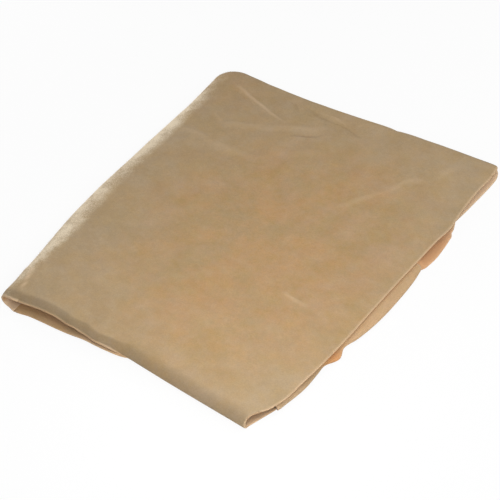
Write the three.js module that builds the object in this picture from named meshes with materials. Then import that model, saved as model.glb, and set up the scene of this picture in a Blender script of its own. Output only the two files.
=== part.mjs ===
// A chamois leather folded into a flat package. It is one soft skin, so its pieces are the panels
// that lie between the folds and the rolled folds that join them:
//
//   top_panel     the large face on top, raw along its right edge
//   left_fold     rolls from the top panel down to the under panel
//   under_panel   lies below the top panel, partly on the bottom panel
//   right_fold    rolls from the under panel down to the bottom panel
//   bottom_panel  the end of the skin, flat on the table
//   back_fold, back_flap     the back edge of the top panel, turned under
//   front_fold, front_flap   the front edge, turned under on the right and an open raw lip on the left
//
// Millimetres, +Z up, +Y towards the back. The package rests on z = 0, centred on the Z axis.
import * as THREE from "three";

// The skin
const LEATHER = 1.5; // thickness
const LAYER_GAP = 0.4; // air between two layers that lie on each other
const SEAM_GAP = 0.3; // clearance where a panel meets a fold

// The fold lines in plan. The left line starts at the plan's origin, at its front end.
const LEFT_LINE_LENGTH = 245;
const LEFT_LINE_SLANT = 6; // how far its back end leans to the left
const BACK_LINE_WIDTH = 199;
const BACK_LINE_SLANT = 8; // how far its right end lies further back
const FRONT_LINE_WIDTH = 177;
const FRONT_LINE_SLANT = 20; // how far its right end lies nearer
const RIGHT_LINE_INSET = 4; // its back end, in from the top panel's raw edge
const RIGHT_LINE_SLANT = 9; // how far its front end lies further in

// Top panel
const PACKAGE_HEIGHT = 12; // over the left fold
const TOP_SAG = 1.6; // how far the middle of the top panel sinks
const EDGE_REACH = 32; // how far in from an edge the top panel slopes towards it
const CORNER_ROUND_LENGTH = 20; // length over which the front right corner is drawn in

// Left fold: a loop that is slim at its front mouth and fuller towards the back
const LEFT_BULGE_FRONT = 4;
const LEFT_BULGE_BACK = 12;
const LEFT_BULGE_GROWTH = 85; // it has filled out this far behind the front line

// Back fold and flap
const BACK_BULGE = 7;
const BACK_FLAP_DEPTH = 48;

// Front fold and flap: the roll opens step by step into a flat lip on the left
const FRONT_HEIGHT = 9; // over the roll
const LIP_LENGTH = 15; // leather in the lip or roll, from the fold line on
const LIP_TURN_LEFT = THREE.MathUtils.degToRad(36); // how far the lip has turned at its left end
const LIP_TURN_START = 0.1; // share of the front line where it starts to turn in
const LIP_TURN_END = 0.52; // share of the front line where it is turned fully under
const FRONT_FLAP_DEPTH = 18;

// Under panel, right fold and bottom panel
const FLAP_CLEARANCE = 3; // in plan, between the flaps and the under panel
const TONGUE_STEP = 14; // width over which the front lip of the under panel ends
const LOOP_HEIGHT = 8; // right fold, outside
const RIGHT_BULGE = 8.5;
const RIGHT_FOLD_LENGTH = 148;
const SLIM_LOOP = 0.72; // height of the loop's front part, as a share
const PINCH_PLACE = 52; // from the front end of the right fold
const PINCH_WIDTH = 9;
const PINCH_DEPTH = 0.45; // share of its size that the loop loses there
const EDGE_FLARE = 10; // how far the under panel's raw edge runs out behind the right fold
const EDGE_FLARE_START = 9; // behind the right fold's back end
const EDGE_FLARE_LENGTH = 12;
const EDGE_FLARE_LEAN = 5; // how far the raw edge comes back in towards its back end
const LOOP_RISE = 40; // width over which the under panel rises to the loop
const BOTTOM_WIDTH = 120; // from the right fold line
const BOTTOM_MARGIN = 3; // the bottom panel's front and back edges, inside the right fold's ends
const BOTTOM_WAVE = 7; // how far its free edge swings to and fro
const STEP_DOWN = 18; // width over which the under panel comes down off the bottom panel

const { lerp, smoothstep } = THREE.MathUtils;
const point = (x, y, z = 0) => new THREE.Vector3(x, y, z);

// Heights of the middle of a layer
const FLOOR_Z = LEATHER / 2;
const STACK_Z = FLOOR_Z + LEATHER + LAYER_GAP;
const TOP_Z = PACKAGE_HEIGHT - LEATHER / 2;
const LOOP_Z = LOOP_HEIGHT - LEATHER / 2;
const RIGHT_Z = LOOP_Z + LEATHER + LAYER_GAP; // the top panel lies on the right fold
const FRONT_Z = FRONT_HEIGHT - LEATHER / 2;

// Corners of the fold lines in plan
const frontLeft = point(0, 0);
const backLeft = point(-LEFT_LINE_SLANT, LEFT_LINE_LENGTH);
const backRight = point(backLeft.x + BACK_LINE_WIDTH, backLeft.y + BACK_LINE_SLANT);
const frontRight = point(FRONT_LINE_WIDTH, -FRONT_LINE_SLANT);

const leftLineX = (y) => lerp(frontLeft.x, backLeft.x, y / LEFT_LINE_LENGTH);
const frontLineY = (x) => lerp(frontLeft.y, frontRight.y, x / FRONT_LINE_WIDTH);
const backLineY = (x) => lerp(backLeft.y, backRight.y, (x - backLeft.x) / BACK_LINE_WIDTH);

// The top panel's raw right edge: straight, but drawn in at the front corner.
function topRightEdge(t) {
  const y = lerp(frontRight.y, backRight.y, t);
  const drawnIn = (backRight.x - frontRight.x) * Math.exp(-(y - frontRight.y) / CORNER_ROUND_LENGTH);
  return point(backRight.x - drawnIn, y);
}

// Height of the top panel: highest along the left and back folds, lower on the front roll and the right fold.
function topHeight(s, t) {
  const right = topRightEdge(t);
  const width = right.x - leftLineX(right.y);
  const length = LEFT_LINE_LENGTH + lerp(0, BACK_LINE_SLANT + FRONT_LINE_SLANT, s);
  const frontDrop = (TOP_Z - FRONT_Z) * smoothstep(s, 0, LIP_TURN_END) * Math.exp(-(t * length) / EDGE_REACH);
  const rightDrop = (TOP_Z - RIGHT_Z) * Math.exp(-((1 - s) * width) / EDGE_REACH);
  const sag = TOP_SAG * Math.sin(Math.PI * s) * Math.sin(Math.PI * t);
  return TOP_Z - Math.hypot(frontDrop, rightDrop) - sag;
}

function topPanel(s, t) {
  const left = point(leftLineX(t * LEFT_LINE_LENGTH), t * LEFT_LINE_LENGTH);
  const place = left.lerp(topRightEdge(t), s);
  return place.setZ(topHeight(s, t));
}

// A rolled fold seen at one station: from its start it goes round by turn, out by bulge and down by drop.
function rolled(start, outward, bulge, drop, turn) {
  return start
    .clone()
    .addScaledVector(outward, bulge * Math.sin(turn))
    .setZ(start.z - (drop / 2) * (1 - Math.cos(turn)));
}

// The left fold ends at the back in a quarter dome, where the left and back folds meet.
const DOME_SHARE = 0.08; // share of the strip's parameter that the dome takes
const DOME_TURN = THREE.MathUtils.degToRad(78); // stops short of the dome's pole

function leftFold(s, t) {
  const along = Math.min(t / (1 - DOME_SHARE), 1);
  const domeTurn = (Math.max(t - (1 - DOME_SHARE), 0) / DOME_SHARE) * DOME_TURN;
  const y = lerp(-LIP_LENGTH, LEFT_LINE_LENGTH, along) + BACK_BULGE * Math.sin(domeTurn);
  const shrink = Math.cos(domeTurn);
  const bulge = lerp(LEFT_BULGE_FRONT, LEFT_BULGE_BACK, smoothstep(y, -LIP_LENGTH, LEFT_BULGE_GROWTH));
  const drop = (TOP_Z - FLOOR_Z) * shrink;
  const start = point(leftLineX(y), y, (TOP_Z + FLOOR_Z + drop) / 2);
  return rolled(start, point(-1, 0), bulge * shrink, drop, Math.PI * s);
}

function backFold(s, t) {
  const x = lerp(backRight.x, backLeft.x + SEAM_GAP, s);
  const start = point(x, backLineY(x), topHeight((x - backLeft.x) / BACK_LINE_WIDTH, 1));
  return rolled(start, point(0, 1), BACK_BULGE, start.z - FLOOR_Z, Math.PI * t);
}

// How far the front edge has turned in, from the open lip on the left to the half-round roll on the right.
function lipTurn(share) {
  const turned = THREE.MathUtils.clamp((share - LIP_TURN_START) / (LIP_TURN_END - LIP_TURN_START), 0, 1);
  return lerp(LIP_TURN_LEFT, Math.PI, turned ** 3);
}

function frontFold(s, t) {
  const x = lerp(leftLineX(-LIP_LENGTH) + SEAM_GAP, frontRight.x, s);
  const share = x / FRONT_LINE_WIDTH;
  const start = point(x, frontLineY(x), topHeight(share, 0));
  const turn = lipTurn(share);
  return rolled(start, point(0, -1), LIP_LENGTH / turn, start.z - FLOOR_Z, turn * t);
}

// Plan of the under panel: a front lip under the open mouth, then clear of both flaps.
const tongueEndX = LIP_TURN_END * FRONT_LINE_WIDTH - FLAP_CLEARANCE;
const behindFrontFlapY = (x) => frontLineY(x) + FRONT_FLAP_DEPTH + FLAP_CLEARANCE;
const underFrontY = (x) =>
  lerp(-LIP_LENGTH, behindFrontFlapY(x), smoothstep(x, tongueEndX - TONGUE_STEP, tongueEndX));
const underBackY = (x) => backLineY(x) - BACK_FLAP_DEPTH - FLAP_CLEARANCE;

const rightFoldFront = underFrontY(FRONT_LINE_WIDTH);
const rightFoldBack = rightFoldFront + RIGHT_FOLD_LENGTH;
const rightLineX = (y) =>
  backRight.x - RIGHT_LINE_INSET - (RIGHT_LINE_SLANT * (rightFoldBack - y)) / RIGHT_FOLD_LENGTH;

const flareStart = rightFoldBack + EDGE_FLARE_START;
const flared = (y) => smoothstep(y, flareStart, flareStart + EDGE_FLARE_LENGTH);

const pinched = (y) => PINCH_DEPTH * Math.exp(-(((y - rightFoldFront - PINCH_PLACE) / PINCH_WIDTH) ** 2));

// Share of the loop's full height at a place along the right fold. Behind the fold the raw edge lies down.
function loopShare(y) {
  const along = y - rightFoldFront;
  const body = lerp(SLIM_LOOP, 1, smoothstep(along, PINCH_PLACE, PINCH_PLACE + 2 * PINCH_WIDTH));
  return body * (1 - pinched(y)) * (1 - flared(y));
}

const bottomFrontY = (x) => behindFrontFlapY(x) + BOTTOM_MARGIN;
const bottomBackY = rightFoldBack - BOTTOM_MARGIN;
const bottomLeftX = rightLineX(rightFoldBack) - BOTTOM_WIDTH;

// 1 where the under panel lies on the bottom panel, 0 where it lies on the table.
function liftedByBottom(x, y) {
  const clear = bottomLeftX - BOTTOM_WAVE - LEATHER;
  const fromLeft = smoothstep(x, clear - STEP_DOWN, clear);
  const fromBack = 1 - smoothstep(y, rightFoldBack, rightFoldBack + STEP_DOWN);
  return fromLeft * fromBack;
}

function underHeight(x, y) {
  const lying = lerp(FLOOR_Z, STACK_Z, liftedByBottom(x, y));
  const raised = lerp(lying, LOOP_Z, loopShare(y));
  return lerp(lying, raised, smoothstep(x, rightLineX(y) - LOOP_RISE, rightLineX(y)));
}

function underRightX(y) {
  const lean = EDGE_FLARE_LEAN * smoothstep(y, flareStart + EDGE_FLARE_LENGTH, underBackY(backRight.x));
  return Math.min(rightLineX(y), rightLineX(flareStart)) + EDGE_FLARE * flared(y) - lean;
}

function underPanel(s, t) {
  const roughX = lerp(frontLeft.x, backRight.x, s);
  const y = lerp(underFrontY(roughX), underBackY(roughX), t);
  const x = lerp(leftLineX(y) + SEAM_GAP, underRightX(y) - SEAM_GAP, s);
  return point(x, y, underHeight(x, y));
}

function rightFold(s, t) {
  const y = lerp(rightFoldFront, rightFoldBack, s);
  const start = point(rightLineX(y), y, underHeight(rightLineX(y), y));
  return rolled(start, point(1, 0), RIGHT_BULGE * (1 - pinched(y)), start.z - FLOOR_Z, Math.PI * (1 - t));
}

function bottomPanel(s, t) {
  const y = lerp(bottomFrontY(lerp(bottomLeftX, FRONT_LINE_WIDTH, s)), bottomBackY, t);
  const freeEdge = bottomLeftX + BOTTOM_WAVE * Math.sin(2 * Math.PI * t);
  return point(lerp(freeEdge, rightLineX(y) - SEAM_GAP, s), y, FLOOR_Z);
}

function backFlap(s, t) {
  const x = lerp(backLeft.x + LEFT_BULGE_BACK, backRight.x, s);
  return point(x, backLineY(x) - lerp(BACK_FLAP_DEPTH, SEAM_GAP, t), FLOOR_Z);
}

function frontFlap(s, t) {
  const x = lerp(LIP_TURN_END * FRONT_LINE_WIDTH + FLAP_CLEARANCE, FRONT_LINE_WIDTH, s);
  return point(x, frontLineY(x) + lerp(SEAM_GAP, FRONT_FLAP_DEPTH, t), FLOOR_Z);
}

// Unit normal of a surface, from its slopes across and along, taken inwards at the rim.
function normalOf(surface, s, t) {
  const step = 1e-3;
  const lowS = Math.max(s - step, 0);
  const lowT = Math.max(t - step, 0);
  const slopeS = surface(Math.min(s + step, 1), t).sub(surface(lowS, t));
  const slopeT = surface(s, Math.min(t + step, 1)).sub(surface(s, lowT));
  return slopeS.cross(slopeT).normalize();
}

// A thin box bent along a middle surface, which makes a closed sheet of the leather's thickness.
function sheet(name, surface, across, along, colour) {
  const geometry = new THREE.BoxGeometry(1, 1, 1, across, along, 1);
  const places = geometry.getAttribute("position");
  for (let i = 0; i < places.count; i++) {
    const s = places.getX(i) + 0.5;
    const t = places.getY(i) + 0.5;
    const skin = surface(s, t).addScaledVector(normalOf(surface, s, t), places.getZ(i) * LEATHER);
    places.setXYZ(i, skin.x, skin.y, skin.z);
  }
  geometry.computeVertexNormals();
  const material = new THREE.MeshStandardMaterial({ color: colour, roughness: 0.95, metalness: 0 });
  const mesh = new THREE.Mesh(geometry, material);
  mesh.name = name;
  return mesh;
}

const NAP = "#b8966b"; // the sueded face
const INSIDE = "#c09062"; // the warmer inside of the folds

const leather = new THREE.Group();
leather.add(
  sheet("top_panel", inset(topPanel), 20, 22, NAP),
  sheet("left_fold", leftFold, 10, 30, NAP),
  sheet("under_panel", underPanel, 22, 24, INSIDE),
  sheet("right_fold", rightFold, 20, 10, INSIDE),
  sheet("bottom_panel", bottomPanel, 2, 12, INSIDE),
  sheet("back_fold", backFold, 18, 10, NAP),
  sheet("back_flap", backFlap, 12, 2, INSIDE),
  sheet("front_fold", frontFold, 24, 10, NAP),
  sheet("front_flap", frontFlap, 6, 1, INSIDE),
);

// The same surface, kept clear of the folds along its left, front and back edges.
function inset(surface) {
  const left = SEAM_GAP / BACK_LINE_WIDTH;
  const end = SEAM_GAP / LEFT_LINE_LENGTH;
  return (s, t) => surface(lerp(left, 1, s), lerp(end, 1 - end, t));
}

// The package stands centred over the origin.
const box = new THREE.Box3().setFromObject(leather);
const centre = box.getCenter(new THREE.Vector3());
leather.position.set(-centre.x, -centre.y, -box.min.z);

export default leather;
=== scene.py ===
"""A folded chamois leather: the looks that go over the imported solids, in the same frame.

The leather is one skin, folded four times. Every piece here is a closed sheet of the leather's
thickness around a middle surface, and the middle surfaces follow the fold lines of the solids.
Plan sizes are millimetres from the front end of the left fold line; meshes are metres. The turn of
a rolled fold is in radians, from 0 on the face above to pi on the layer below.
"""

import logging
import math
from dataclasses import dataclass, field
from enum import Enum

import bpy
import numpy as np
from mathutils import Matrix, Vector


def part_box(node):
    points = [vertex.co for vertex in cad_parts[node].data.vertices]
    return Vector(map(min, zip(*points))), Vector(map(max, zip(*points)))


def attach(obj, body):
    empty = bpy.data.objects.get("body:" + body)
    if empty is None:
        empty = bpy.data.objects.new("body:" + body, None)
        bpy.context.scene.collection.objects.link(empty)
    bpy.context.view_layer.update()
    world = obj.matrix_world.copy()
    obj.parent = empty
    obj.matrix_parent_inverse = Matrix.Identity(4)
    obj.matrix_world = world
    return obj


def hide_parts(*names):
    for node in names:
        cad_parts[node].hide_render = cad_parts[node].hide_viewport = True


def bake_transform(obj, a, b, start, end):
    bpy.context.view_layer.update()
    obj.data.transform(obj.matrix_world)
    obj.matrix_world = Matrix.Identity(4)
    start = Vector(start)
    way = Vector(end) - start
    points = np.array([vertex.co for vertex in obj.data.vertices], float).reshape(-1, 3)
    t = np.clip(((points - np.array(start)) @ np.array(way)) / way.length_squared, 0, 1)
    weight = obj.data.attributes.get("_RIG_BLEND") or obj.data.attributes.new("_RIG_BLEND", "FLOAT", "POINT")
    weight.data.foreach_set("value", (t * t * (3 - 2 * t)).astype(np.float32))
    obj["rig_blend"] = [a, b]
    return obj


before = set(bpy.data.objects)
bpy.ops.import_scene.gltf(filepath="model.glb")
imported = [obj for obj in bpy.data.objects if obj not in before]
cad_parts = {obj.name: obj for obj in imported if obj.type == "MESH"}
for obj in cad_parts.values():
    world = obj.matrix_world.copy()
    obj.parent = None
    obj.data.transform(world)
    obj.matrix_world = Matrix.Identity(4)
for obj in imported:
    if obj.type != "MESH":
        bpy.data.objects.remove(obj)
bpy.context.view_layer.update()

Array = np.ndarray
Span = tuple[float, float]
Knots = tuple[Span, ...]

MM = 0.001
TINY = 1e-9
WHITE = (1, 1, 1, 1)
FIX_ROUNDS = 6  # rounds that settle places which depend on each other
CORNER_MIDDLE = 0.75 * np.pi  # direction where the two halves of the rounded corner meet
log = logging.getLogger("chamois")


class Side(Enum):
    """The four sides of a grid of points."""

    FIRST_ROW = "first row"
    LAST_ROW = "last row"
    FIRST_COLUMN = "first column"
    LAST_COLUMN = "last column"


class Layer(Enum):
    """The moving layers of the folded skin, named as the bodies of the frame."""

    TOP = "top_layer"
    UNDER = "under_layer"
    BOTTOM = "bottom_layer"
    BACK = "back_turn"
    FRONT = "front_turn"


class Slot(Enum):
    """The material slots of the record."""

    OUTSIDE = "sueded_face"
    INSIDE = "inner_layers"


class Held(Enum):
    """The ways in which a sheet is held."""

    FOLDED = "folded"
    LAID = "laid"


def smoothstep(value: Array, low: float, high: float) -> Array:
    """Smooth rise from 0 at low to 1 at high."""
    share = np.clip((value - low) / (high - low), 0, 1)
    return share * share * (3 - 2 * share)


def window(value: Array, rise: Span, fall: Span) -> Array:
    """Smooth rise over one span, and fall over a later one."""
    return smoothstep(value, *rise) * (1 - smoothstep(value, *fall))


def bell(distance: Array, width: float) -> Array:
    """Bell curve, 1 at no distance."""
    return np.exp(-((distance / width) ** 2))


def lerp(start: Array, end: Array, share: Array) -> Array:
    """Straight mix of two values."""
    return start + (end - start) * share


def along(knots: Knots, place: Array) -> Array:
    """Smooth curve through measured knots, flat beyond its ends.

    Args:
        knots: Pairs of place and value, in order of place.
        place: Where the curve is wanted.

    Returns:
        The curve's value at each place.
    """
    places, values = np.array(knots, float).T
    slopes = np.gradient(values, places)
    left = np.clip(np.searchsorted(places, place) - 1, 0, len(places) - 2)
    span = places[left + 1] - places[left]
    t = np.clip((place - places[left]) / span, 0, 1)
    start = (1 + 2 * t) * (1 - t) ** 2 * values[left] + t * (1 - t) ** 2 * span * slopes[left]
    end = t * t * (3 - 2 * t) * values[left + 1] + t * t * (t - 1) * span * slopes[left + 1]
    return start + end


def cross_section(flat: int, roll: int, tail: int) -> tuple[Array, Array, Array]:
    """Stations across a rolled fold, from the face above to the layer below.

    Args:
        flat: Steps on the face above, before the fold line.
        roll: Steps round the roll.
        tail: Steps on the layer below, after the fold line.

    Returns:
        Share still to go to the fold line, turn of the roll, and share gone past it.
    """
    before = np.concatenate((np.linspace(1, 0, flat + 1), np.zeros(roll + tail)))
    turn = np.concatenate((np.zeros(flat), np.linspace(0, np.pi, roll + 1), np.full(tail, np.pi)))
    after = np.concatenate((np.zeros(flat + roll), np.linspace(0, 1, tail + 1)))
    return before, turn, after


def linear(colour: str) -> tuple[float, float, float, float]:
    """Linear colour of an sRGB hex value.

    Args:
        colour: Six hex digits after a hash sign.

    Returns:
        Red, green, blue and full opacity for a node's socket.
    """
    parts = [int(colour[i : i + 2], 16) / 255 for i in (1, 3, 5)]
    lit = [p / 12.92 if p <= 0.04045 else ((p + 0.055) / 1.055) ** 2.4 for p in parts]
    return lit[0], lit[1], lit[2], 1.0


def add_node(
    tree: bpy.types.NodeTree,
    kind: str,
    settings: dict[str, object] | None = None,
    links: dict[str | int, object] | None = None,
) -> bpy.types.Node:
    """Adds one node to a tree.

    Args:
        tree: Shader or geometry node tree.
        kind: The node's type name.
        settings: Properties of the node.
        links: Input sockets, each with a socket to link from or a value to set.

    Returns:
        The new node.
    """
    node = tree.nodes.new(kind)
    for name, value in (settings or {}).items():
        setattr(node, name, value)
    for name, value in (links or {}).items():
        socket = node.inputs[name]
        if isinstance(value, bpy.types.NodeSocket):
            tree.links.new(value, socket)
        else:
            socket.default_value = value
    return node


@dataclass(frozen=True)
class Crease:
    """A straight low ridge or groove in the top face, in plan millimetres."""

    start: Span
    end: Span
    width: float
    height: float
    fade: float = 0.7

    def rise(self, x: Array, y: Array) -> Array:
        """Height that the crease adds at each place.

        Args:
            x: Places across.
            y: Places along.

        Returns:
            Rise in millimetres, fading out towards the crease's ends.
        """
        (x0, y0), (x1, y1) = self.start, self.end
        length = math.hypot(x1 - x0, y1 - y0)
        ux, uy = (x1 - x0) / length, (y1 - y0) / length
        forward = ((x - x0) * ux + (y - y0) * uy) / length
        aside = (y - y0) * ux - (x - x0) * uy
        strength = np.sin(np.pi * np.clip(forward, 0, 1)) ** self.fade
        return self.height * strength * bell(aside, self.width)


@dataclass
class SkinPlan:
    """Fold lines, heights, edges and wear that all pieces of the skin share, in millimetres."""

    # Leather and gaps, fold lines, heights of the outer faces, and flaps
    thickness: float = 1.5
    layer_gap: float = 0.4
    seam_gap: float = 0.3
    left_length: float = 245
    left_slant: float = 6
    back_width: float = 199
    back_slant: float = 8
    front_width: float = 177
    front_slant: float = 20
    right_inset: float = 4
    right_slant: float = 9
    right_length: float = 148
    front_height: float = 9
    loop_height: float = 7.8
    front_flap_depth: float = 18
    back_flap_depth: float = 48
    flap_clearance: float = 3
    flap_reach: float = 1.2
    # What a rolled fold takes of the face above and of the layer below
    fold_margin: float = 7
    tail: float = 5
    # Bulge of each rolled fold along its line, and height of the right one as a share
    left_bulge: Knots = (
        (-16, 5.2), (0, 5.5), (26, 7.2), (50, 9.9), (74, 11.8), (92, 12.4), (110, 12.5), (150, 11.7),
        (200, 10.2), (245, 11.4),
    )
    back_bulge: Knots = (
        (-6, 9.4), (10, 7.1), (34, 2.8), (55, 0.5), (83, 2.1), (113, 4.8), (150, 6.2), (176, 6.7),
        (188, 6.9), (194, 6.4),
    )
    right_bulge: Knots = (
        (1, 6.2), (22, 8.3), (36, 7.2), (45, 6.4), (54, 10.2), (63, 7.2), (74, 9.8), (86, 11.2),
        (118, 10.8), (138, 8.8), (149, 6.6),
    )
    loop_share: Knots = (
        (1, 0.66), (25, 0.7), (38, 0.6), (46, 0.4), (54, 0.34), (62, 0.55), (72, 0.88), (86, 1),
        (120, 1), (140, 0.95), (149, 0.82),
    )
    # Raw edges: the top face's on the right, the under layer's in the mouth and on the right, the back flap's
    raw_edge: Knots = (
        (-22, 176.4), (-16, 178.8), (-10, 183.4), (-4, 186), (3, 188), (17, 189.3), (31, 190.6), (57, 192),
        (103, 192.6), (148, 193.6), (175, 194.5), (186, 195.6), (198, 194.3), (217, 193), (231, 192.8),
        (243, 193.4), (249, 193.2), (253, 192.6),
    )
    under_lip: Knots = (
        (-7, -12), (-1, -14.4), (4.5, -16.4), (16, -15.2), (25, -15), (34, -15), (46, -14.8), (57, -15.1),
        (66, -15.5), (76, -15.4), (84, -14.7), (88, -13.6), (91, -11.5), (93, -9),
    )
    loose_edge: Knots = (
        (149, 193.6), (152, 195.6), (158, 196.8), (165, 197.4), (175, 197), (185, 196), (189, 195.4),
        (191, 194), (194, 193.6), (198, 192.4), (202, 190.9), (206, 190.4),
    )
    flap_edge: Knots = (
        (200, 190.4), (206, 190.6), (214, 191.2), (226, 191.8), (238, 192.4), (250, 192.6), (262, 192),
    )
    # The lip along the front: its leather and its turn, which ends in a roll
    lip_length: Knots = (
        (0, 18.9), (3, 18.5), (8, 17), (12, 15.9), (16, 14.3), (20.5, 12.9), (25, 11.9), (29.5, 10.9),
        (39.5, 10.2), (46, 11.2), (51.5, 9.8), (56, 9.2), (61, 11), (66, 11.6), (71, 10.5), (75, 9.6),
        (80.5, 9.6), (84.5, 9.2), (88, 9.5), (95, 11.3), (103, 12.2), (177, 12.2),
    )
    lip_degrees: Knots = (
        (0, 62), (3, 63), (8, 70), (12, 73), (30, 72), (39.5, 72), (46, 72), (51.5, 73), (56, 77), (61, 81),
        (66, 83), (71, 89), (75, 96), (80.5, 110), (84.5, 127), (88, 149), (91, 166), (94, 178), (96, 180),
        (177, 180),
    )
    lip_end: float = 0.52
    lip_closes: Span = (95, 150)
    lip_flat: float = 0.6
    lip_flick: float = 0.8
    lip_flick_start: float = 0.75
    lip_flick_lean: float = 0.7
    lip_wave: float = 0.2
    lip_wave_length: float = 13
    lip_wave_lift: float = 0.5
    lip_wave_seed: int = 11
    lip_halvings: int = 24
    # The top face's sag between its edges, and waves with a height, a length and a seed
    top_sag: float = 1.6
    edge_reach: float = 32
    mouth_droop: float = 1.4
    mouth_droop_place: Span = (0, -8)
    mouth_droop_reach: float = 15
    calm_edge: Span = (-10, 30)
    waves: tuple[tuple[float, float, int], ...] = ((0.3, 70, 3), (0.1, 22, 5))
    ripple_count: int = 14
    ripple_spread: Span = (0.7, 1.6)
    crease_wander: float = 1.1
    wander_length: float = 26
    wander_seeds: tuple[int, int] = (17, 19)
    # Colour: painted highlight on crease crests and painted shade in their grooves, a greyed rim, the flesh
    # side's warmth, painted shade along the front lip, and the browner back left corner with painted shade on
    # it and on its rim
    crest_highlight: float = 0.6
    groove_shade: float = 1.1
    crease_paint_limit: float = 0.8
    fade_centre: Span = (0.58, 0.44)
    fade_reach: Span = (0.2, 0.7)
    flesh: float = 0.45
    flesh_turn: Span = (1.9, 3.1)
    droop_shade: float = 0.78
    corner_swell: float = 1.2
    corner_colour: float = 0.5
    corner_shade: float = 0.22
    corner_rim_shade: float = 0.35
    corner_rim_shade_turn: Span = (0, 0.8)
    corner_spread: float = 45
    creases: tuple[Crease, ...] = (
        # Long pulls from the back left corner and along the back edge
        Crease((-1, 238), (52, 218), 1.1, 0.8),
        Crease((-4, 234), (33, 220), 2.0, -0.56),
        Crease((42, 242), (57, 232), 1.4, -0.56),
        Crease((57, 245), (91, 240), 2.4, 0.72),
        Crease((53, 240), (85, 235), 1.8, -0.8),
        Crease((81, 237), (105, 232), 1.6, -0.72),
        Crease((111, 254), (123, 246), 1.4, -0.56),
        # Streaks across the back half
        Crease((34, 201), (80, 228), 2.6, 0.72),
        Crease((59, 207), (81, 224), 1.3, -0.72),
        Crease((58, 189), (96, 204), 3.5, 0.48),
        Crease((81, 191), (126, 205), 4.0, -0.4),
        Crease((127, 163), (142, 195), 2.2, 0.64),
        Crease((141, 192), (162, 222), 2.2, 0.64),
        Crease((162, 219), (174, 251), 2.6, 0.48),
        Crease((-1, 178), (18, 174), 2.4, 0.56),
        Crease((11, 173), (58, 176), 3.0, 0.64),
        Crease((21, 170), (58, 166), 2.2, -0.48),
        Crease((5, 202), (19, 194), 2.0, 0.48),
        Crease((18, 194), (42, 205), 2.4, 0.56),
        # A scratch near the front right, a pinch at the front left and two soft swells
        Crease((139, 79), (158, 74), 1.2, 0.7),
        Crease((5.6, -8), (-1.4, 12), 0.75, 0.9),
        Crease((28, 74), (51, 118), 5.0, 0.48),
        Crease((22, 9), (51, 52), 6.0, 0.48),
    )

    def __post_init__(self) -> None:
        """Works out the heights of the layers' middles and the plan's place in the frame."""
        lowest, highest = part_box("front_flap")
        left, front = highest.x / MM - self.front_width, lowest.y / MM + self.front_slant - self.seam_gap
        self.origin = np.array((left, front, 0))
        half = self.thickness / 2
        self.floor_z = half
        self.stack_z = half + self.thickness + self.layer_gap
        self.crown_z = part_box("top_panel")[1].z / MM - half
        self.loop_z = self.loop_height - half
        self.right_z = self.loop_z + self.thickness + 2 * self.layer_gap
        self.front_z = self.front_height - half
        self.right_front = self.behind_front_flap(self.front_width)
        self.right_back = self.right_front + self.right_length
        corner_y = self.left_length
        for _ in range(FIX_ROUNDS):
            corner_y = self.back_y(self.left_x(corner_y) + self.fold_margin) - self.fold_margin
        self.corner = np.array((self.left_x(corner_y) + self.fold_margin, corner_y))

    def left_x(self, y: Array) -> Array:
        """The left fold line."""
        return -self.left_slant * y / self.left_length

    def front_y(self, x: Array) -> Array:
        """The front fold line."""
        return -self.front_slant * x / self.front_width

    def back_y(self, x: Array) -> Array:
        """The back fold line."""
        return self.left_length + self.back_slant * (x + self.left_slant) / self.back_width

    def right_x(self, y: Array) -> Array:
        """The right fold line."""
        end = self.back_width - self.left_slant - self.right_inset
        return end - self.right_slant * (self.right_back - y) / self.right_length

    def behind_front_flap(self, x: Array) -> Array:
        """Just clear of the front flap's inner edge."""
        return self.front_y(x) + self.front_flap_depth + self.flap_clearance

    def roll_z(self, start: Array, turn: Array) -> Array:
        """Height in a rolled fold that comes down from a face to the table."""
        return start - (start - self.floor_z) / 2 * (1 - np.cos(turn))

    def ripple(self, x: Array, y: Array, wavelength: float, seed: int) -> Array:
        """Soft random waves.

        Args:
            x: Places across.
            y: Places along.
            wavelength: Typical length of a wave.
            seed: Fixes the waves.

        Returns:
            Waves with a spread of about 1.
        """
        draw = np.random.default_rng(seed)
        total = np.zeros(np.broadcast(x, y).shape)
        for _ in range(self.ripple_count):
            angle, phase = draw.uniform(0, np.pi), draw.uniform(0, 2 * np.pi)
            count = 2 * np.pi / (wavelength * draw.uniform(*self.ripple_spread))
            total += np.sin(count * (x * np.cos(angle) + y * np.sin(angle)) + phase)
        return total / math.sqrt(self.ripple_count / 2)

    def wander(self, x: Array, y: Array) -> tuple[Array, Array]:
        """Places moved a little, so that creases don't run dead straight."""
        aside, ahead = (self.ripple(x, y, self.wander_length, seed) for seed in self.wander_seeds)
        return x + self.crease_wander * aside, y + self.crease_wander * ahead

    def top_z(self, x: Array, y: Array) -> Array:
        """Height of the top face's middle, with its waves and creases.

        Args:
            x: Places across.
            y: Places along.

        Returns:
            Height in millimetres.
        """
        left, right = self.left_x(y), along(self.raw_edge, y)
        front, back = self.front_y(x), self.back_y(x)
        s = np.clip((x - left) / (right - left), 0, 1)
        t = np.clip((y - front) / (back - front), 0, 1)
        to_front, to_right = np.maximum(y - front, 0), np.maximum(right - x, 0)
        front_drop = (self.crown_z - self.front_z) * smoothstep(s, 0, self.lip_end)
        front_drop = front_drop * np.exp(-to_front / self.edge_reach)
        right_drop = (self.crown_z - self.right_z) * np.exp(-to_right / self.edge_reach)
        droop_x, droop_y = self.mouth_droop_place
        sag = self.top_sag * np.sin(np.pi * s) * np.sin(np.pi * t)
        sag = sag + self.mouth_droop * bell(np.hypot(x - droop_x, y - droop_y), self.mouth_droop_reach)
        calm = smoothstep(right - x, *self.calm_edge)
        waves = sum(height * self.ripple(x, y, length, seed) for height, length, seed in self.waves)
        moved = self.wander(x, y)
        ridges = sum(crease.rise(*moved) for crease in self.creases)
        return self.crown_z - np.hypot(front_drop, right_drop) - sag + calm * waves + ridges

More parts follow.
